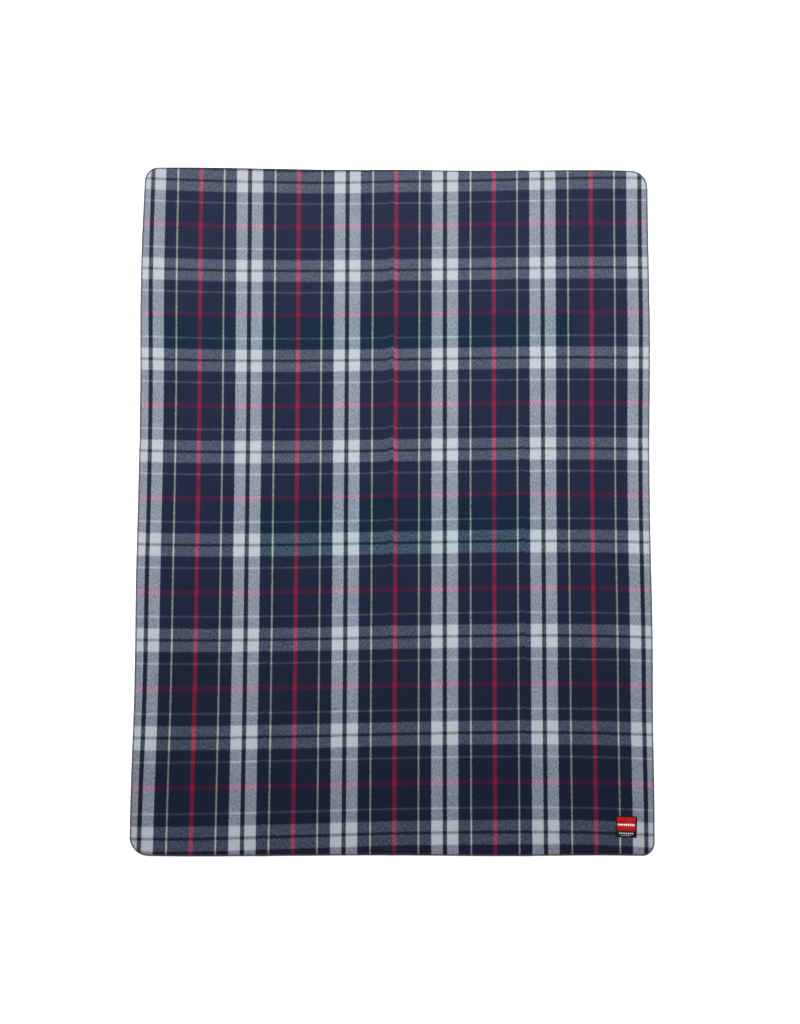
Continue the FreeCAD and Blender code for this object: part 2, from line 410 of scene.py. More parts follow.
def noiseAt(tree, x, y, sizeX, sizeY, detail):
    # Noise with features about sizeX by sizeY metres, 0 to 1.
    place = addNode(tree, "ShaderNodeCombineXYZ")
    tree.links.new(calc(tree, "DIVIDE", x, sizeX), place.inputs[0])
    tree.links.new(calc(tree, "DIVIDE", y, sizeY), place.inputs[1])
    made = addNode(tree, "ShaderNodeTexNoise", noise_dimensions="2D")
    made.inputs["Scale"].default_value = 1.0
    made.inputs["Detail"].default_value = detail
    tree.links.new(place.outputs[0], made.inputs["Vector"])
    return made.outputs[0]


def jitter(tree, value, noise, reach):
    # value moved by up to reach either way.
    return calc(tree, "ADD", value, calc(tree, "MULTIPLY", calc(tree, "SUBTRACT", noise, 0.5), 2 * reach))


def boxMask(tree, x, y, middle, half, radius, soft=0.25 * mm):
    # 1 inside a rectangle with round corners and 0 outside, with a soft line between.
    squares = []
    for value, center, reach in zip((x, y), middle, half):
        away = calc(tree, "ABSOLUTE", calc(tree, "SUBTRACT", value, center))
        clear = calc(tree, "MAXIMUM", calc(tree, "SUBTRACT", away, reach - radius), 0.0)
        squares.append(calc(tree, "MULTIPLY", clear, clear))
    away = calc(tree, "SQRT", calc(tree, "ADD", *squares))
    return calc(tree, "DIVIDE", calc(tree, "SUBTRACT", radius + soft / 2, away), soft, clamp=True)


def addBump(tree, shader, height, strength, distance):
    # Fine relief in the shading only.
    bump = addNode(tree, "ShaderNodeBump")
    bump.inputs["Strength"].default_value = strength
    bump.inputs["Distance"].default_value = distance
    tree.links.new(height, bump.inputs["Height"])
    tree.links.new(bump.outputs[0], shader.inputs["Normal"])


def newMaterial(name, roughness, sheen=0.0, specular=0.3):
    # A plain surface with its node tree and its shader.
    material = bpy.data.materials.new(name)
    material.use_nodes = True
    tree = material.node_tree
    shader = tree.nodes["Principled BSDF"]
    shader.inputs["Roughness"].default_value = roughness
    shader.inputs["Specular IOR Level"].default_value = specular
    shader.inputs["Sheen Weight"].default_value = sheen
    shader.inputs["Sheen Roughness"].default_value = 0.5
    return material, tree, shader


def fromDisplay(color):
    # A display colour, 0 to 255, as linear light.
    value = np.array(color, dtype=float) / 255
    return np.where(value <= 0.04045, value / 12.92, ((value + 0.055) / 1.055) ** 2.4)


plaid = {
    "warpRepeat": 287.8 * mm,
    "warpStart": 143.2 * mm,  # a dark line, and the sett mirrors about it
    # where each stripe starts, in mm from the dark line
    "warpStripes": ((0, "ink"), (6.0, "pale"), (38.8, "navy"), (72.6, "straw"), (77.8, "navy"),
                    (137.9, "red")),
    "warpSoftness": 2.4 * mm,  # over which one stripe's brushed edge runs into the next
    "weftRepeat": 270.6 * mm,
    "weftStart": 932.9 * mm,
    "weftStripes": ((0, "ink"), (3.8, "chalk"), (32.9, "navy"), (63.4, "ash"), (68.6, "navy"),
                    (128.4, "rose")),
    "weftSoftness": 4.0 * mm,
    "yarns": {
        "ink": (35, 40, 46),
        "pale": (163, 168, 176),
        "navy": (32, 38, 58),
        "straw": (148, 154, 137),
        "red": (132, 32, 59),
        "chalk": (177, 184, 191),
        "ash": (137, 142, 149),
        "rose": (130, 20, 60),
    },
    "level": 0.46,  # the lightness that the blending below leaves alone
    "warpShare": 0.72,  # how much of the face the long yarns make
    "blendPower": 2.75,  # brushed yarns blend to the eye between a plain and a printed mix
    "paintedHazeFade": (1.092, -0.117),  # painted haze: the contrast is softened towards the head, where the lamp's sheen would lift the darks, and deeper towards the foot
    "yarnPitch": 1.1 * mm,
    "twillDepth": 0.07,
    "slubDepth": 0.10,
    "speckDepth": 0.12,
    "cloudDepth": 0.05,
    "fuzzAcross": 1.6 * mm,
    "fuzzAlong": 2.8 * mm,
    # each noise's size across and along the weave, in mm, and its detail
    "noises": {
        "fuzz": (4.5, 4.5, 3),
        "fineFuzz": (1.0, 2.6, 2),
        "slub": (1.3, 11, 2),
        "speck": (3.2, 6.5, 2),
        "cloud": (70, 90, 3),
        "nap": (1.6, 2.4, 3),
    },
    "napLight": (0.30, 0.85),  # how much a noise adds, and the value it adds to
    "cloudLight": (0.16, 0.92),
    "napRoughness": (0.10, 0.86),
    "slubRelief": 0.6,  # beside the nap's height
    "reliefStrength": 0.35,
    "reliefHeight": 0.5 * mm,
    # two stretches tinted a little greener, and darker on the navy: from and to along the weave, then across
    # it, in mm
    "tealPatches": (((555, 455), (-720, 520)), ((12, -155), (-400, 410))),
    "tealNavy": (0.36, 0.92, 0.84),
    "tealPale": (0.90, 1.0, 0.97),
    "tealRadius": 2 * mm,
    "tealSoftness": 10 * mm,
    "paleGain": 4.0,  # how soon a light yarn takes the pale tint
}


def stripeRamp(tree, distance, repeat, stripes, softness):
    # The yarn colour at a distance from the nearest dark line, with a short soft run at each stripe's edge.
    ramp = addNode(tree, "ShaderNodeValToRGB")
    feed(tree, ramp.inputs[0], calc(tree, "DIVIDE", distance, repeat / 2))
    elements = ramp.color_ramp.elements
    elements.remove(elements[-1])
    colors = [(fromDisplay(plaid["yarns"][yarn]) / plaid["level"]) ** (1 / plaid["blendPower"])
              for start, yarn in stripes]
    elements[0].color = (*colors[0], 1)
    for (start, yarn), before, after in zip(stripes[1:], colors, colors[1:]):
        for place, color in ((start * mm - softness / 2, before), (start * mm + softness / 2, after)):
            elements.new(2 * place / repeat).color = (*color, 1)
    return ramp.outputs[0]


def makePlaid():
    # The long stripes' colour and the cross stripes' colour, mixed by how much of the face the long yarns
    # make there: an even share, plus the twill's steps, slubs, specks and clouds. The mix is made on a
    # power scale, as brushed yarns blend, with painted haze that softens the contrast towards the head,
    # then tinted in two stretches and shaded by the nap.
    material, tree, shader = newMaterial("plaidTwill", roughness=0.92, sheen=0.05, specular=0.05)
    across, along = readCoordinates(tree, "weave")
    noise = {name: noiseAt(tree, across, along, sizeX * mm, sizeY * mm, detail)
             for name, (sizeX, sizeY, detail) in plaid["noises"].items()}
    edgeX = jitter(tree, across, noise["fuzz"], plaid["fuzzAcross"])
    edgeX = jitter(tree, edgeX, noise["fineFuzz"], plaid["fuzzAcross"])
    edgeY = jitter(tree, along, noise["fineFuzz"], plaid["fuzzAlong"])
    edgeY = jitter(tree, edgeY, noise["fuzz"], plaid["fuzzAlong"])
    colors = {}
    for way, edge in (("warp", edgeX), ("weft", edgeY)):
        repeat = plaid[way + "Repeat"]
        distance = calc(tree, "PINGPONG", calc(tree, "ADD", edge, plaid[way + "Start"]), repeat / 2)
        colors[way] = stripeRamp(tree, distance, repeat, plaid[way + "Stripes"], plaid[way + "Softness"])
    # A 2/2 twill: long yarns show where (long yarn number - cross yarn number) mod 4 is under 2.
    step = calc(tree, "DIVIDE", calc(tree, "SUBTRACT", across, along), 4 * plaid["yarnPitch"])
    twill = calc(tree, "SUBTRACT", calc(tree, "PINGPONG", step, 0.5), 0.25)
    share = calc(tree, "MULTIPLY_ADD", twill, 4 * plaid["twillDepth"], plaid["warpShare"])
    share = jitter(tree, share, noise["slub"], 2 * plaid["slubDepth"])
    share = jitter(tree, share, noise["speck"], 2 * plaid["speckDepth"])
    share = jitter(tree, share, noise["cloud"], plaid["cloudDepth"])
    blend = mixColors(tree, calc(tree, "ADD", share, 0, clamp=True), colors["weft"], colors["warp"])
    power = addNode(tree, "ShaderNodeGamma")
    # painted haze: the blending power grows towards the foot, so the darks are lifted towards the head
    contrast = [plaid["blendPower"] * value for value in plaid["paintedHazeFade"]]
    tree.links.new(calc(tree, "MULTIPLY_ADD", along, contrast[1], contrast[0]), power.inputs[1])
    tree.links.new(blend, power.inputs[0])
    color = mixColors(tree, 1.0, power.outputs[0], (plaid["level"],) * 3, "MULTIPLY")
    tint = 0.0
    for (top, foot), (left, right) in plaid["tealPatches"]:
        middle = ((left + right) / 2 * mm, (top + foot) / 2 * mm)
        half = ((right - left) / 2 * mm, (top - foot) / 2 * mm)
        patch = boxMask(tree, edgeX, edgeY, middle, half, plaid["tealRadius"], plaid["tealSoftness"])
        tint = calc(tree, "ADD", patch, tint, clamp=True)
    split = addNode(tree, "ShaderNodeSeparateColor")
    tree.links.new(color, split.inputs[0])
    paleness = calc(tree, "MULTIPLY", split.outputs[1], plaid["paleGain"], clamp=True)
    greener = mixColors(tree, paleness, plaid["tealNavy"], plaid["tealPale"])
    color = mixColors(tree, tint, color, mixColors(tree, 1.0, color, greener, "MULTIPLY"))
    nap = calc(tree, "MULTIPLY_ADD", noise["nap"], *plaid["napLight"])
    cloudy = calc(tree, "MULTIPLY_ADD", noise["cloud"], *plaid["cloudLight"])
    color = mixColors(tree, 1.0, color, asGrey(tree, calc(tree, "MULTIPLY", nap, cloudy)), "MULTIPLY")
    tree.links.new(color, shader.inputs["Base Color"])
    roughness = calc(tree, "MULTIPLY_ADD", noise["nap"], *plaid["napRoughness"])
    tree.links.new(roughness, shader.inputs["Roughness"])
    yarns = calc(tree, "ADD", calc(tree, "MULTIPLY", noise["slub"], plaid["slubRelief"]), twill)
    relief = calc(tree, "ADD", noise["nap"], yarns)
    addBump(tree, shader, relief, plaid["reliefStrength"], plaid["reliefHeight"])
    return material


clothMesh = {
    "pitch": 10.2 * mm,
    "arcSteps": 17,  # round each corner
    "foldColumns": 3,  # extra columns to each side of a fold
    "foldPitch": 3.4 * mm,
}

# the face fills the left of the unit square and the back the right
bakeMap = {"margin": 0.002, "faceWidth": 0.741, "backStart": 0.757, "backWidth": 0.241, "length": 0.996}


def gridLine(half, folds=()):
    # Places from -half to half: even along the middle, closer near the ends in the steps of an arc of the
    # corner, and closer along each fold.
    straight = half - longestCorner
    turns = np.linspace(0, math.pi / 2, clothMesh["arcSteps"] + 1)[1:]
    end = straight + longestCorner * np.sin(turns)
    middle = np.linspace(-straight, straight, int(2 * straight / clothMesh["pitch"]) + 1)
    offsets = np.arange(-clothMesh["foldColumns"], clothMesh["foldColumns"] + 1) * clothMesh["foldPitch"]
    for place in folds:
        clear = np.abs(middle - place) > offsets[-1] + clothMesh["foldPitch"] / 2
        middle = np.concatenate([middle[clear], place + offsets])
    return np.concatenate([-end[::-1], np.sort(middle), end])


def makeCloth():
    # A closed shell over the grid (column, row): a row's width is the outline's at that row, so the grid's
    # border is the cut edge. The two faces stand half the thickness times seamShare off the middle layer.
    columns = gridLine(halfWidth, lie["folds"]) / halfWidth
    rows = gridLine(halfLength)
    share, v = np.meshgrid(columns, rows)
    radius = cornerAt(share, v)
    past = np.maximum(np.abs(v) - (halfLength - radius), 0)
    u = share * (halfWidth - radius + np.sqrt(np.maximum(radius ** 2 - past ** 2, 0)))
    half = faceHeightAt(edgeDistance(u, v))
    half[borderOf(u.shape)] = 0
    face = layOut(u, v, half)
    back = layOut(u, v, -half)
    piece = closeShell("plaidCloth", face, back, weaveCoordinates(u, v), "weave")
    addBakeMap(piece, u, v)
    piece.data.materials.append(makePlaid())
    print("cloth:", len(piece.data.polygons), "quads")
    return piece


def addBakeMap(piece, u, v):
    # Lays the face and the back beside each other: a place is its share of the width and of the length,
    # scaled and moved into its part of the square.
    quads = gridQuads(*u.shape)
    across = ((u.ravel() + halfWidth) / (2 * halfWidth))[quads]
    along = ((v.ravel() + halfLength) / (2 * halfLength))[quads] * bakeMap["length"] + bakeMap["margin"]
    face = np.stack([across * bakeMap["faceWidth"] + bakeMap["margin"], along], axis=-1)
    back = np.stack([across * bakeMap["backWidth"] + bakeMap["backStart"], along], axis=-1)[:, ::-1]
    layer = piece.data.uv_layers.new(name="OFBake")
    layer.data.foreach_set("uv", np.concatenate([face, back]).astype(np.float32).ravel())


def alongOutline(share, halfX, halfY, corners):
    # Walks a rectangle with round corners anticlockwise from its lower right corner, by share of the whole
    # walk: the middle that a corner turns about, its radius there and the direction outwards.
    order = np.array([corners[3], corners[1], corners[0], corners[2]])  # anticlockwise from the lower right
    signX = np.array([1, 1, -1, -1])
    signY = np.array([-1, 1, 1, -1])
    middleX = signX * (halfX - order)
    middleY = signY * (halfY - order)
    sides = 2 * np.array([halfY, halfX, halfY, halfX]) - order - np.roll(order, -1)
    legs = np.stack([order * math.pi / 2, sides], axis=1).ravel()
    stations = np.concatenate([[0], np.cumsum(legs)])
    each = np.append(np.repeat(np.arange(4), 2), 0)  # which corner's middle each station has
    turns = np.array([-1, 0, 0, 1, 1, 2, 2, 3, 3]) * math.pi / 2
    place = np.mod(share, 1) * stations[-1]
    values = [np.interp(place, stations, row[each]) for row in (middleX, middleY, order)]
    return (*values, np.interp(place, stations, turns))


def outlineLength(halfX, halfY, corners):
    # Four half sides each way, less what each round corner saves: (2 - pi/2) times its radius.
    return 4 * (halfX + halfY) - (2 - math.pi / 2) * sum(corners)


def standIn(share, inset, halfX, halfY, corners):
    # The point on the walk that stands inset from the outline.
    coreX, coreY, radius, angle = alongOutline(share, halfX, halfY, corners)
    return coreX + (radius - inset) * np.cos(angle), coreY + (radius - inset) * np.sin(angle)


def closedTube(name, path, radius, sides):
    # A round profile carried along a closed path: each ring stands across the path's direction there,
    # on its level side and the direction square to both.
    forward = np.roll(path, -1, axis=0) - np.roll(path, 1, axis=0)
    forward /= np.linalg.norm(forward, axis=1)[:, None]
    level = np.cross(forward, [0.0, 0.0, 1.0])
    level /= np.linalg.norm(level, axis=1)[:, None]
    up = np.cross(level, forward)
    angle = np.arange(sides) * 2 * math.pi / sides
    ring = np.cos(angle)[None, :, None] * level[:, None] + np.sin(angle)[None, :, None] * up[:, None]
    points = path[:, None] + radius * ring
    steps = np.linalg.norm(np.roll(path, -1, axis=0) - path, axis=1)
    run = np.concatenate([[0], np.cumsum(steps)[:-1]])
    strand = np.stack(np.broadcast_arrays(run[:, None], angle[None, :] / (2 * math.pi)), axis=-1)
    quads = gridQuads(len(path), sides, closed=True)[:, ::-1]
    return makePiece(name, points.reshape(-1, 3), quads, {"strand": strand.reshape(-1, 2)})


overlock = {
    "stitch": 2.8 * mm,
    "pointsPerStitch": 6,
    "looperRadius": 0.5 * mm,
    "needleRadius": 0.24 * mm,
    "sides": 5,
    "lean": 0.55,  # how far a looper thread slants, as a share of a stitch
    "uneven": 0.16,  # of a stitch's reach
    "shortOfNeedle": 0.2 * mm,  # where a looper thread turns back
    "pastEdge": 0.5,  # of its radius
    "looperLift": 0.75,  # of its radius, over the cloth
    "needleLift": 0.8,  # of its own radius
    "needleSway": 0.15 * mm,  # off its line, either way
    "needleDip": 0.9 * mm,  # into the cloth, between stitches
    "color": (46, 48, 52),
    "ply": 0.9 * mm,
}


def stitchGrid(whole, stitch, points):
    # The number of each stitch, and the share of the way through it, for a whole number of stitches.
    stitches = int(round(whole / stitch))
    return (*np.meshgrid(np.arange(stitches), np.arange(points) / points, indexing="ij"), stitches)


def looperPath(side, phase):
    # A looper thread: it swings from the needle thread to just past the cut edge and back once a stitch,
    # as a cosine, lying on the cloth's face (side 1) or back (side -1).
    reachIn = seamWidth - overlock["shortOfNeedle"]
    reachOut = overlock["looperRadius"] * overlock["pastEdge"]
    whole = outlineLength(halfWidth, halfLength, cut["corners"])
    number, share, stitches = stitchGrid(whole, overlock["stitch"], overlock["pointsPerStitch"])
    uneven = overlock["uneven"] * randomNumbers.uniform(-1, 1, stitches)[:, None]
    turn = 2 * math.pi * share
    walk = (number + share + phase + overlock["lean"] / (2 * math.pi) * np.sin(turn)) / stitches
    swing = 0.5 + 0.5 * np.cos(turn)
    inset = -reachOut + (reachIn * (1 + 0.5 * uneven) + reachOut) * swing
    u, v = standIn(walk, inset, halfWidth, halfLength, cut["corners"])
    lift = faceHeightAt(np.maximum(inset, 0)) + overlock["looperLift"] * overlock["looperRadius"]
    return layOut(u, v, side * lift).reshape(-1, 3)


def needlePath():
    # The needle thread: a short straight stitch on the face, then down through the cloth and up again.
    whole = outlineLength(halfWidth, halfLength, cut["corners"])
    number, share, stitches = stitchGrid(whole, overlock["stitch"], overlock["pointsPerStitch"])
    sway = overlock["needleSway"] * randomNumbers.uniform(-1, 1, stitches)[:, None]
    inset = seamWidth + sway + 0 * share
    u, v = standIn((number + share) / stitches, inset, halfWidth, halfLength, cut["corners"])
    dip = overlock["needleDip"] * stitchDip(share)
    lift = faceHeightAt(inset) + overlock["needleLift"] * overlock["needleRadius"] - dip
    return layOut(u, v, lift).reshape(-1, 3)


spun = {
    "roughness": 0.62,
    "sheen": 0.25,
    "lotRun": 7 * mm,  # how often the dye changes along the thread
    "lotTurn": 3.0,
    # painted shade: how much lighter a ply's crown is than the groove beside it
    "plyGrooveShade": 0.9,
    "lotLight": (0.7, 0.42),  # how much the dye noise adds, and the value it adds to
    "reliefStrength": 0.5,
    "reliefHeight": 0.15 * mm,
}


def makeThread(name, color, ply):
    # Spun thread: two plies wind round it, where (run / ply + 2 turns) mod 1 is near a half, with painted
    # shade in the grooves between them, and the dye is a little uneven.
    material, tree, shader = newMaterial(name, roughness=spun["roughness"], sheen=spun["sheen"])
    run, turn = readCoordinates(tree, "strand")
    place = calc(tree, "ADD", calc(tree, "DIVIDE", run, ply), calc(tree, "MULTIPLY", turn, 2))
    wind = calc(tree, "PINGPONG", place, 0.5)
    lot = noiseAt(tree, run, turn, spun["lotRun"], spun["lotTurn"], 2)
    lot = calc(tree, "MULTIPLY_ADD", lot, *spun["lotLight"])
    # painted shade: the thread is darker in the grooves between its plies
    light = asGrey(tree, calc(tree, "MULTIPLY_ADD", wind, spun["plyGrooveShade"], lot))
    shade = mixColors(tree, 1.0, tuple(fromDisplay(color)), light, "MULTIPLY")
    tree.links.new(shade, shader.inputs["Base Color"])
    addBump(tree, shader, wind, spun["reliefStrength"], spun["reliefHeight"])
    return material


def makeOverlock():
    # The two looper threads and the needle thread, each a tube along its path.
    thread = makeThread("overlockThread", overlock["color"], overlock["ply"])
    radius, sides = overlock["looperRadius"], overlock["sides"]
    upper = closedTube("upperLooper", looperPath(1, 0.0), radius, sides)
    lower = closedTube("lowerLooper", looperPath(-1, 0.5), radius, sides)
    needle = closedTube("overlockNeedleThread", needlePath(), overlock["needleRadius"], sides)
    for piece in (upper, lower, needle):
        piece.data.materials.append(thread)
        print("thread:", piece.name, len(piece.data.polygons), "quads")
    return upper, lower, needle


slabRim = 0.4 * mm  # over which a label's edge is drawn together


def makeSlab(name, low, high, radius, bottom, top, cells, place=lambda u, v: (u, v)):
    # A thin closed sheet over a rectangle with round corners, between two heights over the middle layer:
    # its grid's lines follow a sine, so that they stand closer near the rim, and half its thickness there
    # is the root of the share of the way in. Its own coordinates start from its middle.
    middleU = (low.x + high.x) / 2
    middleV = (low.y + high.y) / 2
    halfU = (high.x - low.x) / 2
    halfV = (high.y - low.y) / 2
    line = np.sin(np.linspace(-1, 1, cells) * math.pi / 2)
    share, v = np.meshgrid(line, line * halfV)
    past = np.maximum(np.abs(v) - (halfV - radius), 0)
    u = share * (halfU - radius + np.sqrt(np.maximum(radius ** 2 - past ** 2, 0)))
    distance = edgeDistance(u, v, halfU, halfV, radius)
    rim = np.sqrt(np.clip(distance / slabRim, 0, 1))
    rim[borderOf(u.shape)] = 0
    placeU, placeV = place(middleU + u, middleV + v)
    lowHeight = bottom(placeU, placeV)
    highHeight = top(placeU, placeV)
    middle = (lowHeight + highHeight) / 2
    half = (highHeight - lowHeight) / 2 * rim
    face = layOut(placeU, placeV, middle + half)
    back = layOut(placeU, placeV, middle - half)
    return closeShell(name, face, back, np.stack([u, v], axis=-1), "label")


label = {
    "cells": 31,
    "cornerRadius": 1 * mm,
    "fieldRadius": 2.5 * mm,
    "yarns": {
        "ground": (11, 10, 13),
        "field": (184, 8, 20),
        # the red under painted shade
        "fieldShade": (104, 5, 16),
        "white": (236, 222, 226),
        "faint": (120, 14, 24),
        "dash": (206, 202, 210),
    },
    "fieldMiddle": (-0.4 * mm, 7.6 * mm),
    "fieldHalf": (26.2 * mm, 19.4 * mm),
    "rowMiddle": (-0.3 * mm, 5.7 * mm),
    "rowHalf": (24.0 * mm, 3.7 * mm),
    "lozenge": 6.0 * mm,
    # rows of dashes: yarn, middle, half size, step and how much of each step is filled
    "dashRows": (
        ("faint", (-1.0 * mm, -7.2 * mm), (17 * mm, 1.5 * mm), 4.1 * mm, 0.62),
        ("dash", (0.5 * mm, -18.6 * mm), (21 * mm, 2.3 * mm), 5.2 * mm, 0.6),
        ("dash", (-1.0 * mm, -24.6 * mm), (14 * mm, 0.8 * mm), 3.1 * mm, 0.5),
    ),
    "dashShare": 0.8,
    "rowSoftness": 0.2 * mm,
    "shadeSize": (26 * mm, 17 * mm),
    "shadeStart": 0.42,
    "shadeGain": 3.0,
    "fleckSize": 0.5 * mm,
    "fleckReach": 0.25 * mm,
    # painted shade: how much lighter a rib's crown is than the gap between ribs
    "ribGrooveShade": 0.35,
    "fleckLight": (0.5, 0.66),  # how much the fleck adds, and the value it adds to
    "lozengeSize": (0.9, 0.68),  # the same, for how big each lozenge is
    "lozengeSway": 7 * mm,
    "lozengeGain": 8.0,
    "threadPitch": 0.42 * mm,
    "relief": (0.4, 0.12 * mm),
    "turn": -2.0,  # degrees, as sewn by hand
    "nudge": (-3.0 * mm, 0.4 * mm),
}


def sewnAskew(u, v):
    # Turns places on the cloth a little about the label's middle and moves them a little.
    middleU = (labelLow.x + labelHigh.x) / 2
    middleV = (labelLow.y + labelHigh.y) / 2
    cosine = math.cos(math.radians(label["turn"]))
    sine = math.sin(math.radians(label["turn"]))
    newU = middleU + label["nudge"][0] + cosine * (u - middleU) - sine * (v - middleV)
    newV = middleV + label["nudge"][1] + sine * (u - middleU) + cosine * (v - middleV)
    return newU, newV


def makeWoven():
    # A damask label: a red field on a dark ground, with a row of plain lozenges and rows of dashes. A
    # lozenge is where the shares of the way across and up from its middle add up to less than its size.
    material, tree, shader = newMaterial("wovenLabel", roughness=0.6, sheen=0.04, specular=0.15)
    x, y = readCoordinates(tree, "label")
    yarns = {name: tuple(fromDisplay(color)) for name, color in label["yarns"].items()}
    fleck = noiseAt(tree, x, y, label["fleckSize"], label["fleckSize"], 2)
    x = jitter(tree, x, fleck, label["fleckReach"])
    field = boxMask(tree, x, y, label["fieldMiddle"], label["fieldHalf"], label["fieldRadius"])
    # painted shade: the red field darkens in soft patches
    shade = calc(tree, "SUBTRACT", noiseAt(tree, x, y, *label["shadeSize"], 1), label["shadeStart"])
    shade = calc(tree, "MULTIPLY", shade, label["shadeGain"], clamp=True)
    red = mixColors(tree, shade, yarns["field"], yarns["fieldShade"])
    color = mixColors(tree, field, yarns["ground"], red)
    row = boxMask(tree, x, y, label["rowMiddle"], label["rowHalf"], label["rowSoftness"])
    halfStep = label["lozenge"] / 2
    fromPoint = calc(tree, "DIVIDE", calc(tree, "PINGPONG", x, halfStep), halfStep)
    fromLine = calc(tree, "ABSOLUTE", calc(tree, "SUBTRACT", y, label["rowMiddle"][1]))
    fromLine = calc(tree, "DIVIDE", fromLine, label["rowHalf"][1])
    sway = noiseAt(tree, x, x, label["lozengeSway"], label["lozengeSway"], 1)
    size = calc(tree, "MULTIPLY_ADD", sway, *label["lozengeSize"])
    lozenge = calc(tree, "SUBTRACT", size, calc(tree, "ADD", fromPoint, fromLine))
    lozenge = calc(tree, "MULTIPLY", row, calc(tree, "MULTIPLY", lozenge, label["lozengeGain"], clamp=True))
    color = mixColors(tree, lozenge, color, yarns["white"])
    for yarn, middle, half, step, fill in label["dashRows"]:
        place = boxMask(tree, x, y, middle, half, label["rowSoftness"])
        dashes = calc(tree, "LESS_THAN", calc(tree, "FRACT", calc(tree, "DIVIDE", x, step)), fill)
        strength = calc(tree, "MULTIPLY", calc(tree, "MULTIPLY", place, dashes), label["dashShare"])
        color = mixColors(tree, strength, color, yarns[yarn])
    rib = calc(tree, "PINGPONG", calc(tree, "DIVIDE", y, label["threadPitch"]), 0.5)
    lightness = calc(tree, "MULTIPLY_ADD", fleck, *label["fleckLight"])
    # painted shade: the label is darker in the gaps between its ribs
    lightness = calc(tree, "MULTIPLY_ADD", rib, label["ribGrooveShade"], lightness)
    color = mixColors(tree, 1.0, color, asGrey(tree, lightness), "MULTIPLY")
    tree.links.new(color, shader.inputs["Base Color"])
    relief = calc(tree, "ADD", rib, calc(tree, "MULTIPLY", lozenge, 0.8))
    addBump(tree, shader, relief, *label["relief"])
    return material


careTab = {
    "thickness": 0.3 * mm,
    "gap": 0.05 * mm,  # under the cloth
    "cornerRadius": 0.8 * mm,
    "cells": 25,
    "satin": ((0.74, 0.74, 0.72), (0.90, 0.90, 0.87)),
    "fleckSize": (0.6 * mm, 2.2 * mm),
    "ink": (0.10, 0.10, 0.11),
    "inkShare": 0.7,
    "ruleStart": -18 * mm,
    "ruleStep": 6 * mm,
    "ruleHalfWidth": 0.35 * mm,
    "ruleHalfRuns": (9 * mm, 9 * mm, 7 * mm, 8 * mm, 5 * mm),
    "ruleRadius": 0.2 * mm,
    "ribPitch": 0.5 * mm,
    "relief": (0.25, 0.08 * mm),
}


def makeCareSatin():
    # White satin ribbon with plain printed rules and a soft rib.
    material, tree, shader = newMaterial("careSatin", roughness=0.38, sheen=0.1, specular=0.4)
    x, y = readCoordinates(tree, "label")
    color = mixColors(tree, noiseAt(tree, x, y, *careTab["fleckSize"], 2), *careTab["satin"])
    for number, halfRun in enumerate(careTab["ruleHalfRuns"]):
        middle = (careTab["ruleStart"] + careTab["ruleStep"] * number, 0)
        rule = boxMask(tree, x, y, middle, (careTab["ruleHalfWidth"], halfRun), careTab["ruleRadius"])
        color = mixColors(tree, calc(tree, "MULTIPLY", rule, careTab["inkShare"]), color, careTab["ink"])
    tree.links.new(color, shader.inputs["Base Color"])
    rib = calc(tree, "PINGPONG", calc(tree, "DIVIDE", x, careTab["ribPitch"]), 0.5)
    addBump(tree, shader, rib, *careTab["relief"])
    return material


def faceHeight(u, v):
    # The same height at a place on the cloth.
    return faceHeightAt(edgeDistance(u, v))


labelSeam = {
    "stitch": 2.4 * mm,
    "points": 6,
    "radius": 0.2 * mm,
    "sides": 6,
    "cornerRadius": 1.2 * mm,
    "dip": 0.7 * mm,  # into the cloth, between stitches
    "color": (22, 20, 24),
    "ply": 0.6 * mm,
}


def labelSeamPath(side, base):
    # Lockstitches round the label: the thread rises out of the cloth, lies flat and dives back.
    halfX = (labelSeamHigh.x - labelSeamLow.x) / 2
    halfY = (labelSeamHigh.y - labelSeamLow.y) / 2
    corners = (labelSeam["cornerRadius"],) * 4
    whole = outlineLength(halfX, halfY, corners)
    number, share, stitches = stitchGrid(whole, labelSeam["stitch"], labelSeam["points"])
    u, v = standIn((number + share) / stitches, labelSeam["radius"], halfX, halfY, corners)
    u = u + (labelSeamLow.x + labelSeamHigh.x) / 2
    v = v + (labelSeamLow.y + labelSeamHigh.y) / 2
    u, v = sewnAskew(u, v)
    height = base + labelSeam["radius"] / 2 - labelSeam["dip"] * stitchDip(share)
    return layOut(u, v, side * height).reshape(-1, 3)


def makeLabels():
    # The woven label on the face, the care label under the back, and the two threads of the woven
    # label's lockstitch as tubes along their paths.
    labelThickness = labelHigh.z - labelLow.z
    woven = makeSlab("wovenLabel", labelLow, labelHigh, label["cornerRadius"], faceHeight,
                     lambda u, v: faceHeight(u, v) + labelThickness, label["cells"], sewnAskew)
    woven.data.materials.append(makeWoven())
    near, far = careTab["gap"], careTab["gap"] + careTab["thickness"]
    care = makeSlab("careLabel", careLow, careHigh, careTab["cornerRadius"],
                    lambda u, v: -faceHeight(u, v) - far, lambda u, v: -faceHeight(u, v) - near,
                    careTab["cells"])
    care.data.materials.append(makeCareSatin())
    thread = makeThread("labelThread", labelSeam["color"], labelSeam["ply"])
    tubes = []
    for name, side, base in (("labelNeedleThread", 1, thickness / 2 + labelThickness),
                             ("labelBobbinThread", -1, thickness / 2)):
        tube = closedTube(name, labelSeamPath(side, base), labelSeam["radius"], labelSeam["sides"])
        tube.data.materials.append(thread)
        tubes.append(tube)
    print("labels and their stitches made")
    return woven, care, *tubes


cloth = makeCloth()
upperLooper, lowerLooper, needleThread = makeOverlock()
wovenLabel, careLabel, labelNeedle, labelBobbin = makeLabels()

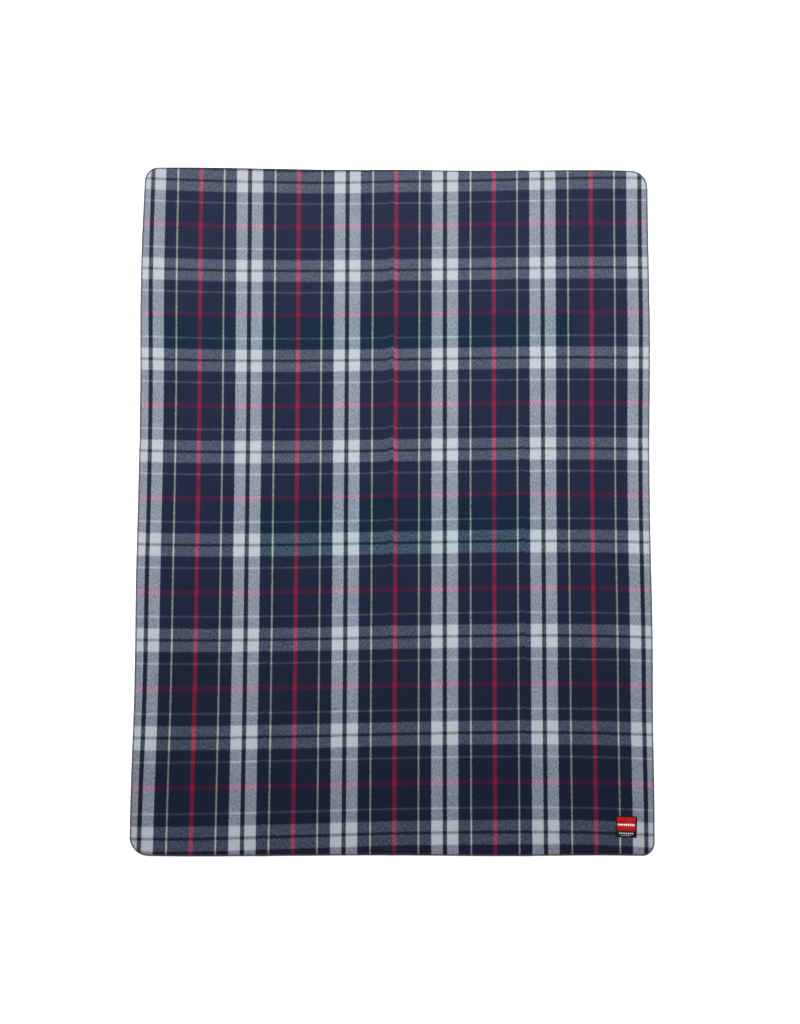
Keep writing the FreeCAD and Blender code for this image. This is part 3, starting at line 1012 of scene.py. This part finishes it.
pieces = (
    (cloth, "blanket_cloth", "plaid_twill"),
    (upperLooper, "overlock_upper_looper_thread", "overlock_thread"),
    (lowerLooper, "overlock_lower_looper_thread", "overlock_thread"),
    (needleThread, "overlock_needle_thread", "overlock_thread"),
    (wovenLabel, "brand_label", "woven_label"),
    (labelNeedle, "label_needle_thread", "label_thread"),
    (labelBobbin, "label_bobbin_thread", "label_thread"),
    (careLabel, "care_label", "care_satin"),
)
for piece, node, slot in pieces:
    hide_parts(node)
    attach(piece, "root")


studio = {
    "floorReach": 40.0,
    "floorDrop": 0.2 * mm,
    "floorColor": (0.93, 0.93, 0.93),
    "floorGlow": 0.46,  # the floor is a lit panel, so that it stays white to its edges
    "worldColor": (0.98, 0.99, 1.0),
    "worldLight": 0.28,
    "worldSeen": 0.96,  # its brightness where the camera sees it
    "lampPlace": (0.0, 0.5, 2.6),
    "lampSize": (4.6, 1.2),
    "lampPower": 126.0,
    "cameraPlace": (-0.0366, -0.260, 3.4846),
    "cameraTurn": (3.98, -0.85, 0.17),  # degrees
    "lens": 54.0,
    "sensorWidth": 36.0,
    "clipEnd": 200.0,
}


def makeStudio():
    # A pale lit floor, a pale room, one long soft lamp overhead and the camera looking straight down.
    floor = groundSquare("floor", studio["floorReach"], -studio["floorDrop"])
    material, tree, shader = newMaterial("paleFloor", roughness=0.8)
    shader.inputs["Base Color"].default_value = (*studio["floorColor"], 1)
    shader.inputs["Emission Color"].default_value = (1, 1, 1, 1)
    shader.inputs["Emission Strength"].default_value = studio["floorGlow"]
    floor.data.materials.append(material)
    world = bpy.data.worlds.new("paleRoom")
    world.use_nodes = True
    tree = world.node_tree
    background = tree.nodes["Background"]
    background.inputs[0].default_value = (*studio["worldColor"], 1)
    toCamera = addNode(tree, "ShaderNodeLightPath").outputs["Is Camera Ray"]
    extra = calc(tree, "MULTIPLY", toCamera, studio["worldSeen"] - studio["worldLight"])
    tree.links.new(calc(tree, "ADD", extra, studio["worldLight"]), background.inputs[1])
    bpy.context.scene.world = world
    lampData = bpy.data.lights.new("softBox", "AREA")
    lampData.shape = "RECTANGLE"
    lampData.size, lampData.size_y = studio["lampSize"]
    lampData.energy = studio["lampPower"]
    lamp = bpy.data.objects.new("softBox", lampData)
    lamp.location = studio["lampPlace"]
    lamp.visible_camera = False
    bpy.context.scene.collection.objects.link(lamp)
    cameraData = bpy.data.cameras.new("camera")
    cameraData.sensor_fit = "HORIZONTAL"
    cameraData.sensor_width = studio["sensorWidth"]
    cameraData.lens = studio["lens"]
    cameraData.clip_end = studio["clipEnd"]
    camera = bpy.data.objects.new("camera", cameraData)
    camera.location = studio["cameraPlace"]
    camera.rotation_euler = [math.radians(turn) for turn in studio["cameraTurn"]]
    bpy.context.scene.collection.objects.link(camera)
    bpy.context.scene.camera = camera
    bpy.context.scene.view_settings.view_transform = "Standard"
    print("floor, light and camera made")


makeStudio()
